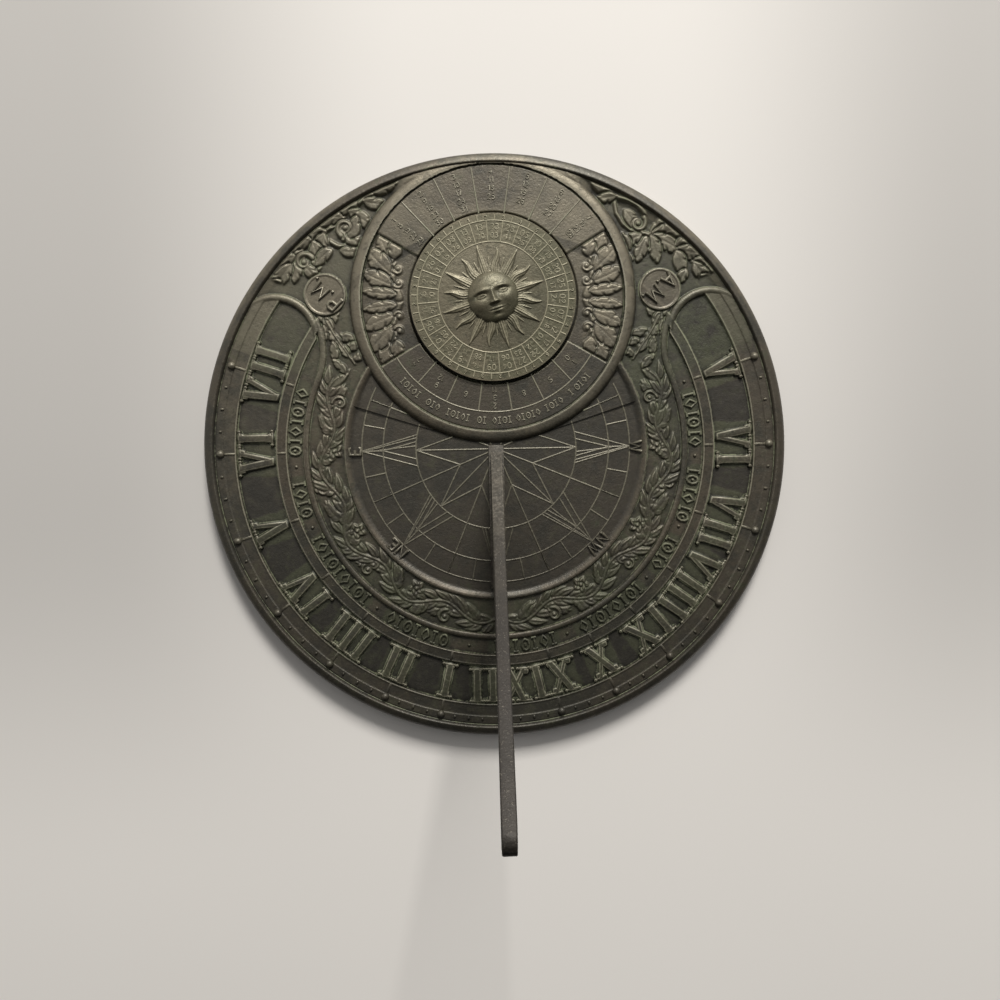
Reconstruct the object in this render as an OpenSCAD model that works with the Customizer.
// Cast horizontal sundial with a perpetual calendar.
// The plate lies flat on its back, noon points to +Y and the afternoon hours lie towards +X.
// The gnomon is screwed on from below. The calendar disc turns by hand on a spindle.

/* [Dial plate] */
// Diameter over the rim
dial_d = 356; // [336:1:380]
// Depth of the hollow in the back
back_depth = 7; // [6:0.5:9]
// Thickness of the cast web above the hollow
web = 3.5; // [3:0.5:6]
// Thickness of the wall that stands on the ground, under the rim
wall = 10; // [8:0.5:14]
// Height of the rim above the floor of the compass
rim_h = 3.5; // [2.5:0.25:5]
// Drop of the sloping rim at its outer edge
rim_drop = 3.2; // [2:0.1:4]
// Height of the flat rings above the floor
ring_h = 1.5; // [1:0.1:2]
// Height of the beaded mouldings above the floor
moulding_h = 1.6; // [1.2:0.1:2.2]
// Bevel along the top edges of the mouldings
moulding_bevel = 0.6; // [0.3:0.1:0.8]

/* [Rings from the rim inwards] */
// Width of the sloping rim
rim_w = 7; // [5:0.5:9]
// Width of the ring with the hour beads
scale_w = 13; // [11:0.5:15]
// Width of the band with the hour numerals
chapter_w = 24; // [21:0.5:26]
// Width of the flat ring inside the numerals
fillet_w = 7; // [5:0.5:9]
// Width of the outer ornament band
garland_w = 9; // [7:0.5:10]
// Width of the moulding inside the outer ornament band
bead_w = 4; // [3:0.1:5]
// Width of the foliage band
wreath_w = 21; // [18:0.2:22]
// Width of the moulding round the compass
border_w = 2.3; // [2:0.1:3]

/* [Hours] */
// Latitude that the dial is laid out for, in degrees
latitude = 51.5; // [48:0.5:54]
// Last hour before and after noon
last_hour = 7; // [6:1:7]
// Height of the raised numerals
numeral_h = 1.3; // [0.8:0.1:1.5]
// Space between the numerals and the edges of their band
numeral_gap = 1.2; // [0.8:0.1:2.5]
// Width of the numeral I with its serifs
letter_i_w = 9.7; // [8:0.1:10]
// Width of the numeral V with its serifs
letter_v_w = 18.5; // [15:0.5:19]
// Width of the numeral X with its serifs
letter_x_w = 19.5; // [16:0.5:20]
// Width of a thick numeral stroke
thick_stroke = 3.8; // [3:0.1:4.5]
// Width of a thin numeral stroke
thin_stroke = 2.4; // [1.8:0.1:2.8]
// Thickness of the serif bars
serif = 1.3; // [1:0.1:1.6]
// Gap between the serifs of neighbouring numerals
serif_gap = 0.8; // [0.4:0.1:1.2]
// Diameter of an hour bead
hour_bead_d = 4.4; // [3.5:0.1:5]
// Distance from the rim to the middle of the hour beads
hour_bead_inset = 3.6; // [3:0.1:4.5]
// Width of the step under the beads, from the rim inwards
bead_step_w = 5.2; // [4.5:0.1:6]
// Height of the step under the beads
bead_step_h = 0.4; // [0.2:0.1:0.6]
// Width of the bar that marks an hour
hour_bar_w = 1.3; // [1:0.1:2]
// Width of the bar that marks a quarter hour
quarter_w = 0.9; // [0.7:0.1:1.2]
// Length of the bar that marks a quarter hour
quarter_l = 2.6; // [2:0.1:3]
// Height of the bars above their ring
bar_h = 0.5; // [0.3:0.1:0.8]

/* [Ends of the hour bands] */
// Bearing of the middle of the arch that closes the numeral band
arch_bearing = 117.4; // [116:0.2:119]
// Outer radius of the arch
arch_r = 27.5; // [26:0.5:29]
// Width of the arch moulding
arch_w = 4.8; // [4:0.2:6]
// Bearing at which the inner moulding swings out
swing_bearing = 112.7; // [111:0.1:114]
// Radius of the swing of the inner moulding
swing_r = 45; // [42:0.5:48]
// Diameter of the round medals beside the calendar
medal_d = 25.6; // [22:0.2:27]
// Sideways place of the medals
medal_x = 101.5; // [100.5:0.5:103]
// Place of the medals towards the south
medal_y = 95; // [93:0.5:97]
// Width of the raised edge of a medal
medal_edge = 1.6; // [1:0.1:2.5]
// Depth of the sunk face of a medal
medal_sink = 0.6; // [0.3:0.1:0.9]

/* [Compass] */
// Width of the ring with the compass initials
initial_w = 8.7; // [7:0.1:10]
// Width of the ring with the compass ticks
tick_w = 13; // [11:0.5:15]
// Width of the ring with the arrows
arrow_w = 20; // [17:0.5:22]
// Radius of the notches of the star
star_notch_r = 24; // [20:0.5:27]
// Width of the raised compass lines
line_w = 0.9; // [0.7:0.1:1.2]
// Height of the raised compass lines
line_h = 0.5; // [0.4:0.1:0.8]

/* [Calendar] */
// Radius of the calendar inside its collar
calendar_r = 80; // [78:0.5:81]
// Width of the sloping collar
collar_w = 7; // [6:0.5:8]
// Height of the collar above the floor
collar_h = 3.2; // [3:0.1:3.4]
// Height of the sunk side panels above the floor
panel_h = 1; // [0.8:0.1:1.2]
// Height of the date and month tables above the floor
table_h = 2.2; // [1.8:0.1:2.6]
// Angle that each table covers
table_span = 120; // [112:2:124]
// Number of columns in a table
columns = 7; // [5:1:9]
// Width of the plain band outside the month table
plain_band_w = 11.5; // [9:0.5:13]
// Width of the upright band beside the disc, out from its opening
panel_border_w = 2.5; // [2:0.1:4]

/* [Calendar disc] */
// Diameter of the turning disc
disc_d = 100; // [96:1:102]
// Gap round the disc
disc_gap = 0.7; // [0.5:0.1:1]
// Gap under the disc
disc_lift = 0.3; // [0.2:0.05:0.5]
// Thickness of the disc
disc_t = 3.6; // [3:0.2:5]
// Round of the upper edge of the disc
disc_round = 1.2; // [0.6:0.1:1.8]
// Width of the ring with the weekday cells
day_ring_w = 4.5; // [4:0.1:6]
// Width of the ring with the year cells
year_ring_w = 12.5; // [10:0.5:14]
// Number of cells in each ring
cells = 28; // [20:1:36]
// Angle by which the disc is turned from noon
disc_turn = 17; // [0:1:359]
// Diameter of the sun's head
sun_d = 31; // [27:1:33]
// Height of the sun's head above the disc
sun_h = 6.5; // [5:0.5:8]
// Number of sun rays, half of them wavy
rays = 16; // [12:2:20]
// Height of the sun rays
ray_h = 1.4; // [1:0.1:2]
// Width of a ray at its root
ray_w = 5.2; // [4:0.2:6]

/* [Spindle] */
// Diameter of the spindle in its bearing
spindle_d = 10; // [9:0.5:12]
// Clearance round the spindle
bearing_clearance = 0.05; // [0.03:0.01:0.08]
// Length of the spindle inside the disc
spindle_seat = 5; // [4:0.5:6]
// Diameter of the threaded end
thread_d = 8; // [6:0.5:8]
// Diameter of the bearing boss
hub_d = 26; // [22:1:32]
// Depth of the bearing boss below the web
hub_depth = 3; // [2:0.25:3.5]
// Play of the disc along its spindle
end_play = 0.1; // [0.05:0.05:0.2]
// Thickness of the washer
washer_t = 0.8; // [0.6:0.1:1]
// Diameter of the washer
washer_d = 19; // [17:0.5:21]
// Thickness of the nut
nut_t = 2.2; // [1.5:0.1:2.4]
// Width across the flats of the nut
nut_af = 13; // [11:0.5:15]

/* [Gnomon] */
// Thickness of the gnomon
fin_t = 6.5; // [6:0.1:9]
// Length of the shadow edge
style_l = 246; // [200:1:250]
// Width of the gnomon at its tip
tip_w = 12; // [9:0.5:16]
// Length of the gnomon along the plate, from the dial centre
base_l = 86; // [80:1:88]
// Radius of the hollow back edge
back_r = 220; // [200:5:280]
// Width of the foot
foot_w = 9.5; // [9:0.1:14]
// Thickness of the foot
foot_t = 2.5; // [1.5:0.1:4]
// Length of the foot past the dial centre
toe = 2.4; // [1:0.1:3]
// Gap round the foot in the raised lines
foot_gap = 0.3; // [0.2:0.1:0.6]
// Diameter of the fixing screws
screw_d = 4; // [3:0.5:4.5]
// Depth of the screws in the gnomon
screw_grip = 12; // [8:1:14]
// Distance of the outer screws from the ends of the foot
screw_inset = 17; // [15:1:20]
// Diameter of the screw heads
head_d = 7; // [6:0.2:9]
// Height of the screw heads
head_t = 2.8; // [2:0.2:4]
// Width across the flats of the hexagon socket
socket_af = 3; // [2:0.5:3]
// Clearance of a screw in the plate
screw_clearance = 0.25; // [0.15:0.05:0.4]
// Clearance of a thread in its hole
thread_clearance = 0.05; // [0.03:0.01:0.08]

/* [Mounting] */
// Diameter of the circle of mounting holes
mount_pcd = 240; // [220:5:260]
// Number of mounting holes
mount_count = 4; // [3:1:6]
// Bearing of the first mounting hole
mount_bearing = 45; // [0:5:90]
// Diameter of the mounting holes
mount_hole_d = 5; // [4:0.5:6]
// Depth of the mounting holes
mount_hole_depth = 8; // [6:0.5:9]
// Diameter of the mounting bosses
mount_boss_d = 16; // [13:1:22]

/* [Hidden] */
$fn = 96;
ring_fn = 180;
small_fn = 32;
sink = 0.4;
through = 1;

face_z = back_depth + web;
dial_r = dial_d / 2;
rim_r = dial_r - rim_w;
scale_r = rim_r - scale_w;
chapter_r = scale_r - chapter_w;
fillet_r = chapter_r - fillet_w;
garland_r = fillet_r - garland_w;
bead_r = garland_r - bead_w;
wreath_r = bead_r - wreath_w;
field_r = wreath_r - border_w;
compass_r = field_r - initial_w;
tick_r = compass_r - tick_w;
star_r = tick_r - arrow_w;

hour_bead_r = rim_r - hour_bead_inset;
arch_mid_r = (rim_r + fillet_r) / 2;
swing_mid_r = bead_r + swing_r;
points = 32;
arrow_half = 360 / points;

calendar_y = calendar_r - rim_r;
panel_z = face_z + panel_h;
table_z = face_z + table_h;
well_r = disc_d / 2 + disc_gap;
column_step = table_span / columns;
disc_z = panel_z + disc_lift;
disc_top = disc_z + disc_t;
year_r = disc_d / 2 - day_ring_w;
sun_field_r = year_r - year_ring_w;
cell_step = 360 / cells;

hub_z = back_depth - hub_depth;
shoulder_z = hub_z - end_play;
washer_z = shoulder_z - washer_t;
nut_z = washer_z - nut_t;
spindle_top = disc_z + spindle_seat;

screw_ys = [screw_inset - toe, base_l - screw_inset];
head_z = back_depth - washer_t - head_t;

bronze = "#6b6358";
brass = "#8a7d58";
steel = "#9a9a98";

// Plan bearing of a sun hour, counted from noon
function hour_bearing(hour) = atan2(sin(latitude) * sin(15 * hour), cos(15 * hour));

// Bearing at which an hour line that starts beside the gnomon crosses radius r
function line_bearing(hour, r) =
    let (a = hour_bearing(hour), x = sign(hour) * fin_t / 2)
    let (s = sqrt(r * r - pow(x * cos(a), 2)) - x * sin(a))
    atan2(x + s * sin(a), s * cos(a));

// Points of an arc about c, counted anticlockwise from +X
function arc(c, r, from, to, steps) =
    [for (i = [0 : steps]) let (a = from + (to - from) * i / steps) c + r * [cos(a), sin(a)]];

// Centre of the circle of radius r through a and b, to the right of the way from a to b
function circle_centre(a, b, r) =
    let (m = (a + b) / 2, d = b - a, half = norm(d) / 2)
    m + [d[1], -d[0]] / norm(d) * sqrt(r * r - half * half);

module at_bearing(angle) {
    rotate(-angle) children();
}

module both_sides() {
    children();
    mirror([1, 0]) children();
}

module ring(r_in, r_out) {
    difference() {
        circle(r_out, $fn = ring_fn);
        circle(r_in, $fn = ring_fn);
    }
}

// Sector that lies within half degrees of +Y
module sector(half, reach) {
    far = reach / cos(half / 3);
    polygon(concat([[0, 0]], [for (i = [-3 : 3]) far * [sin(half * i / 3), cos(half * i / 3)]]));
}

// Profile of a moulding that stands on the floor between two radii
module moulding_profile(r_in, r_out, h) {
    polygon([
        [r_in, -sink], [r_out, -sink], [r_out, h - moulding_bevel],
        [r_out - moulding_bevel, h], [r_in + moulding_bevel, h], [r_in, h - moulding_bevel]
    ]);
}

// Ground that the hour bands cover, up to the arches at their ends
module hour_ground() {
    sector(arch_bearing, dial_d);
    both_sides() at_bearing(arch_bearing) translate([0, arch_mid_r]) circle(arch_r - arch_w / 2);
}

// Ground that the outer ornament band covers, up to its pointed ends
module garland_ground() {
    sector(swing_bearing, dial_d);
    both_sides() at_bearing(swing_bearing) translate([0, swing_mid_r]) circle(swing_r - bead_w / 2);
}

module outside_calendar() {
    difference() {
        circle(dial_r, $fn = ring_fn);
        translate([0, calendar_y]) circle(calendar_r + collar_w / 2, $fn = ring_fn);
    }
}

module plate_blank() {
    edge_z = face_z + rim_h - rim_drop;
    top_z = face_z + rim_h;
    rotate_extrude($fn = ring_fn) difference() {
        polygon([
            [0, 0], [dial_r, 0], [dial_r, edge_z - 1.2], [dial_r - 0.5, edge_z],
            [dial_r - rim_w / 3, edge_z + rim_drop * 0.6], [rim_r + 0.8, top_z],
            [rim_r, top_z], [rim_r - 0.5, face_z], [0, face_z]
        ]);
        polygon([
            [-through, -through], [dial_r - wall - 1, -through], [dial_r - wall - 1, 0],
            [dial_r - wall, back_depth], [-through, back_depth]
        ]);
    }
}

module flat_rings() {
    translate([0, 0, face_z - sink]) linear_extrude(ring_h + sink) intersection() {
        union() {
            ring(scale_r, rim_r);
            ring(fillet_r, chapter_r);
        }
        hour_ground();
        outside_calendar();
    }
    translate([0, 0, face_z]) linear_extrude(ring_h + bead_step_h) intersection() {
        ring(rim_r - bead_step_w, rim_r);
        hour_ground();
        outside_calendar();
    }
}

// Numerals stand with their heads outwards and run with the sun
function glyph_w(c) = c == "I" ? letter_i_w : c == "V" ? letter_v_w : letter_x_w;
function text_w(s, i = 0) = i >= len(s) ? 0 : glyph_w(s[i]) + text_w(s, i + 1);
function pen_x(s, i) = i == 0 ? 0 : pen_x(s, i - 1) + glyph_w(s[i - 1]);

module slanted_stroke(x_low, x_high, w, h) {
    polygon([[x_low - w / 2, 0], [x_low + w / 2, 0], [x_high + w / 2, h], [x_high - w / 2, h]]);
}

// Serif bar of a stroke whose end is centred on x
module serif_bar(x, y, w) {
    translate([x - w / 2, y]) square([w, serif]);
}

module glyph(c, h) {
    w = glyph_w(c);
    i_bar = letter_i_w - serif_gap;
    thin_bar = i_bar - thick_stroke + thin_stroke;
    left = (serif_gap + i_bar) / 2;
    right = w - (serif_gap + thin_bar) / 2;
    if (c == "I") {
        slanted_stroke(w / 2, w / 2, thick_stroke, h);
        for (y = [0, h - serif]) serif_bar(w / 2, y, i_bar);
    } else if (c == "V") {
        slanted_stroke(w / 2, left, thick_stroke, h);
        slanted_stroke(w / 2, right, thin_stroke, h);
        serif_bar(left, h - serif, i_bar);
        serif_bar(right, h - serif, thin_bar);
    } else {
        slanted_stroke(right, left, thick_stroke, h);
        slanted_stroke(left, right, thin_stroke, h);
        for (y = [0, h - serif]) {
            serif_bar(left, y, i_bar);
            serif_bar(right, y, thin_bar);
        }
    }
}

module numeral(s) {
    h = chapter_w - 2 * numeral_gap;
    translate([-text_w(s) / 2, chapter_r + numeral_gap])
        for (i = [0 : len(s) - 1]) translate([pen_x(s, i), 0]) glyph(s[i], h);
}

module hour_numerals() {
    afternoon = ["I", "II", "III", "IV", "V", "VI", "VII"];
    morning = ["XI", "X", "IX", "VIII", "VII", "VI", "V"];
    middle = (scale_r + chapter_r) / 2;
    translate([0, 0, face_z - sink]) linear_extrude(numeral_h + sink) {
        numeral("XII");
        for (hour = [1 : last_hour]) {
            at_bearing(line_bearing(hour, middle)) numeral(afternoon[hour - 1]);
            at_bearing(line_bearing(-hour, middle)) numeral(morning[hour - 1]);
        }
    }
}

module hour_scale() {
    bar_l = scale_w - hour_bead_inset - hour_bead_d / 4;
    step_z = face_z + ring_h + bead_step_h;
    for (hour = [-last_hour : last_hour])
        at_bearing(line_bearing(hour, hour_bead_r)) translate([0, hour_bead_r, step_z])
            sphere(d = hour_bead_d, $fn = small_fn);
    translate([0, 0, face_z + ring_h - sink]) linear_extrude(bar_h + sink)
        for (hour = [-last_hour : last_hour]) {
            at_bearing(line_bearing(hour, hour_bead_r))
                translate([-hour_bar_w / 2, scale_r + quarter_w / 2]) square([hour_bar_w, bar_l]);
            at_bearing(line_bearing(hour, chapter_r)) translate([-hour_bar_w / 2, fillet_r + quarter_w / 2])
                square([hour_bar_w, fillet_w - quarter_w]);
        }
    translate([0, 0, step_z - sink]) linear_extrude(bar_h + sink)
        for (hour = [-last_hour : last_hour - 1], quarter = [1 : 3])
            at_bearing(line_bearing(hour + quarter / 4, hour_bead_r))
                translate([-quarter_w / 2, hour_bead_r - quarter_l / 2]) square([quarter_w, quarter_l]);
}

module arch_mouldings() {
    intersection() {
        for (side = [-1, 1]) rotate(-side * arch_bearing) translate([0, arch_mid_r, face_z])
            rotate_extrude() moulding_profile(arch_r - arch_w, arch_r, ring_h + moulding_bevel);
        translate([0, 0, face_z - 2 * sink]) linear_extrude(2 * rim_h) difference() {
            ring(fillet_r + fillet_w / 2, rim_r + sink);
            sector(arch_bearing, dial_d);
        }
    }
}

module inner_mouldings() {
    translate([0, 0, face_z]) {
        rotate([0, 0, 90 - swing_bearing]) rotate_extrude(angle = 2 * swing_bearing, $fn = ring_fn)
            moulding_profile(bead_r, garland_r, moulding_h);
        intersection() {
            for (side = [-1, 1]) rotate(-side * swing_bearing) translate([0, swing_mid_r])
                rotate_extrude() moulding_profile(swing_r - bead_w, swing_r, moulding_h);
            translate([0, 0, -2 * sink]) linear_extrude(2 * rim_h) difference() {
                circle(fillet_r + fillet_w / 2, $fn = ring_fn);
                sector(swing_bearing, dial_d);
            }
        }
    }
    difference() {
        translate([0, 0, face_z]) rotate_extrude($fn = ring_fn)
            moulding_profile(field_r, wreath_r, moulding_h);
        translate([0, calendar_y, 0]) cylinder(h = dial_r, r = calendar_r + collar_w / 2, $fn = ring_fn);
    }
}

module medals() {
    both_sides() translate([medal_x, -medal_y, face_z - sink]) difference() {
        cylinder(h = ring_h + sink, d = medal_d);
        translate([0, 0, ring_h + sink - medal_sink])
            cylinder(h = ring_h, d = medal_d - 2 * medal_edge);
    }
}

module straight_line(a, b) {
    d = b - a;
    translate(a) rotate(atan2(d[1], d[0])) translate([0, -line_w / 2]) square([norm(d), line_w]);
}

// Compass circles, ticks, eight-point star and the arrow outside each of its points
module compass_lines() {
    step = 2 * arrow_half;
    foot = star_r * [sin(arrow_half), cos(arrow_half)];
    for (r = [star_r, tick_r, compass_r]) ring(r - line_w / 2, r + line_w / 2);
    for (i = [0 : points - 1])
        at_bearing(i * arrow_half) straight_line([0, tick_r], [0, compass_r]);
    for (i = [0 : points / 4 - 1]) {
        at_bearing(2 * i * step) {
            straight_line([0, 0], [0, star_r]);
            for (side = [-1, 1]) {
                notch = star_notch_r * [side * sin(step), cos(step)];
                straight_line(notch, [0, star_r]);
                straight_line([side * foot[0], foot[1]], [0, compass_r]);
            }
        }
        at_bearing((2 * i + 1) * step) straight_line([0, 0], [0, compass_r]);
    }
}

module compass() {
    translate([0, 0, face_z - sink]) linear_extrude(line_h + sink) intersection() {
        compass_lines();
        outside_calendar();
    }
}

module calendar_collar() {
    intersection() {
        translate([0, calendar_y, face_z]) rotate_extrude($fn = ring_fn) polygon([
            [0, -sink], [calendar_r + collar_w, -sink], [calendar_r + collar_w, 0.1],
            [calendar_r + collar_w * 0.55, collar_h * 0.72], [calendar_r + 0.8, collar_h],
            [calendar_r, collar_h], [calendar_r - 0.4, panel_h], [0, panel_h]
        ]);
        cylinder(h = 2 * dial_r, r = rim_r + 0.8, $fn = ring_fn);
    }
}

module calendar_tables() {
    translate([0, calendar_y, panel_z - sink]) {
        linear_extrude(table_h - panel_h + sink) {
            for (turn = [0, 180]) rotate(turn) intersection() {
                ring(well_r, calendar_r);
                sector(table_span / 2, dial_d);
            }
            both_sides() intersection() {
                ring(well_r, calendar_r);
                square([well_r + panel_border_w, calendar_r]);
            }
            both_sides() intersection() {
                ring(well_r, calendar_r);
                translate([0, -calendar_r]) square([well_r + panel_border_w, calendar_r]);
            }
        }
        linear_extrude(table_h - panel_h + line_h + sink) {
            intersection() {
                ring(calendar_r - plain_band_w - line_w, calendar_r - plain_band_w);
                sector(table_span / 2, dial_d);
            }
            for (i = [1 : columns - 1]) {
                angle = (i - columns / 2) * column_step;
                at_bearing(angle)
                    straight_line([0, well_r + line_w], [0, calendar_r - plain_band_w - line_w / 2]);
                at_bearing(180 + angle) straight_line([0, well_r + line_w], [0, calendar_r - line_w]);
            }
        }
    }
}

module back_bosses() {
    translate([0, calendar_y, hub_z]) cylinder(h = hub_depth + sink, d = hub_d);
    for (i = [0 : mount_count - 1])
        rotate(-mount_bearing - 360 * i / mount_count) translate([0, mount_pcd / 2])
            cylinder(h = back_depth + sink, d = mount_boss_d);
}

module plate_holes() {
    translate([0, calendar_y, hub_z - through])
        cylinder(h = rim_h + face_z, d = spindle_d + 2 * bearing_clearance);
    for (i = [0 : mount_count - 1])
        rotate(-mount_bearing - 360 * i / mount_count) translate([0, mount_pcd / 2, -through])
            cylinder(h = mount_hole_depth + through, d = mount_hole_d, $fn = small_fn);
    for (y = screw_ys) translate([0, y, back_depth - through])
        cylinder(h = web + 2 * through, d = screw_d + 2 * screw_clearance, $fn = small_fn);
    translate([-foot_w / 2 - foot_gap, -toe - foot_gap, face_z])
        cube([foot_w + 2 * foot_gap, base_l + toe + 2 * foot_gap, 2 * rim_h]);
}

module dial_plate() {
    color(bronze) difference() {
        union() {
            plate_blank();
            flat_rings();
            hour_numerals();
            hour_scale();
            arch_mouldings();
            inner_mouldings();
            medals();
            compass();
            calendar_collar();
            calendar_tables();
            back_bosses();
        }
        plate_holes();
    }
}

// Side outline of the gnomon: x runs along the plate, y is the height above it
module gnomon_outline() {
    along = [cos(latitude), sin(latitude)];
    across = [sin(latitude), -cos(latitude)];
    tip_r = tip_w / 2;
    shoulder = (style_l - tip_r) * along;
    back = shoulder + tip_w * across;
    heel = [base_l, 0];
    difference() {
        polygon(concat(
            [[0, 0]],
            arc(shoulder + tip_r * across, tip_r, latitude + 90, latitude - 90, 10),
            [heel]
        ));
        translate(circle_centre(heel, back, back_r)) circle(back_r, $fn = ring_fn);
    }
}

module gnomon() {
    color(bronze) translate([0, 0, face_z]) difference() {
        union() {
            translate([-fin_t / 2, 0, 0]) rotate([90, 0, 90]) linear_extrude(fin_t) gnomon_outline();
            translate([-foot_w / 2, -toe, 0]) cube([foot_w, base_l + toe, foot_t]);
        }
        for (y = screw_ys) translate([0, y, -through])
            cylinder(h = screw_grip + 2 * through, d = screw_d + 2 * thread_clearance, $fn = small_fn);
    }
}

module hexagon(af) {
    circle(d = af / cos(30), $fn = 6);
}

module gnomon_screws() {
    color(steel) for (y = screw_ys) translate([0, y, 0]) difference() {
        union() {
            translate([0, 0, head_z]) cylinder(h = head_t, d = head_d, $fn = small_fn);
            translate([0, 0, head_z]) cylinder(h = face_z + screw_grip - head_z, d = screw_d, $fn = small_fn);
        }
        translate([0, 0, head_z - through]) linear_extrude(through + head_t * 0.6) hexagon(socket_af);
    }
}

module gnomon_washers() {
    color(steel) for (y = screw_ys) translate([0, y, back_depth - washer_t]) difference() {
        cylinder(h = washer_t, d = head_d + 2, $fn = small_fn);
        translate([0, 0, -through])
            cylinder(h = washer_t + 2 * through, d = screw_d + 2 * screw_clearance, $fn = small_fn);
    }
}

module straight_ray(reach) {
    polygon([[-ray_w / 2, 0], [ray_w / 2, 0], [0, reach]]);
}

// A ray whose middle line waves once to each side on its way out
module wavy_ray(reach) {
    steps = 9;
    edge = [for (i = [0 : steps]) let (t = i / steps)
        [sin(360 * t) * ray_w * 0.28 * (1 - t / 2), ray_w / 2 * (1 - t), reach * t]];
    polygon(concat(
        [for (p = edge) [p[0] + p[1], p[2]]],
        [for (i = [steps - 1 : -1 : 0]) [edge[i][0] - edge[i][1], edge[i][2]]]
    ));
}

module sun() {
    root = sun_d / 2 - 1;
    reach = sun_field_r - root - 2 * line_w;
    head_round = (pow(sun_d / 2, 2) + sun_h * sun_h) / (2 * sun_h);
    half = asin(sun_d / 2 / head_round);
    translate([0, 0, disc_top]) {
        rotate_extrude() polygon(concat(
            [[0, -sink], [sun_d / 2, -sink]],
            arc([0, sun_h - head_round], head_round, 90 - half, 90, 14)
        ));
        translate([0, 0, -sink]) linear_extrude(ray_h + sink) for (i = [0 : rays - 1])
            rotate(360 * i / rays) translate([0, root])
                if (i % 2 == 0) straight_ray(reach);
                else wavy_ray(reach * 0.86);
    }
}

module calendar_disc() {
    disc_r = disc_d / 2;
    color(brass) translate([0, calendar_y, 0]) rotate(disc_turn) difference() {
        union() {
            translate([0, 0, disc_z]) rotate_extrude($fn = ring_fn) polygon(concat(
                [[0, 0], [disc_r, 0]],
                arc([disc_r - disc_round, disc_t - disc_round], disc_round, 0, 90, 4),
                [[0, disc_t]]
            ));
            translate([0, 0, disc_top - sink]) linear_extrude(line_h + sink) {
                for (r = [year_r, sun_field_r]) ring(r - line_w / 2, r + line_w / 2);
                for (i = [0 : cells - 1]) {
                    rotate(i * cell_step) straight_line([0, sun_field_r], [0, year_r]);
                    rotate((i + 0.5) * cell_step)
                        straight_line([0, year_r], [0, disc_r - disc_round]);
                }
            }
            sun();
        }
        translate([0, 0, disc_z - through])
            cylinder(h = spindle_seat + through, d = spindle_d + 2 * thread_clearance);
    }
}

module spindle() {
    color(steel) translate([0, calendar_y, 0]) {
        translate([0, 0, shoulder_z]) cylinder(h = spindle_top - shoulder_z, d = spindle_d);
        translate([0, 0, nut_z]) cylinder(h = spindle_top - nut_z, d = thread_d);
    }
}

module spindle_washer() {
    color(steel) translate([0, calendar_y, washer_z]) difference() {
        cylinder(h = washer_t, d = washer_d);
        translate([0, 0, -through]) cylinder(h = washer_t + 2 * through, d = thread_d + 2 * thread_clearance);
    }
}

module spindle_nut() {
    color(steel) translate([0, calendar_y, nut_z]) difference() {
        linear_extrude(nut_t) hexagon(nut_af);
        translate([0, 0, -through]) cylinder(h = nut_t + 2 * through, d = thread_d + 2 * thread_clearance);
    }
}

dial_plate();
gnomon();
gnomon_screws();
gnomon_washers();
calendar_disc();
spindle();
spindle_washer();
spindle_nut();
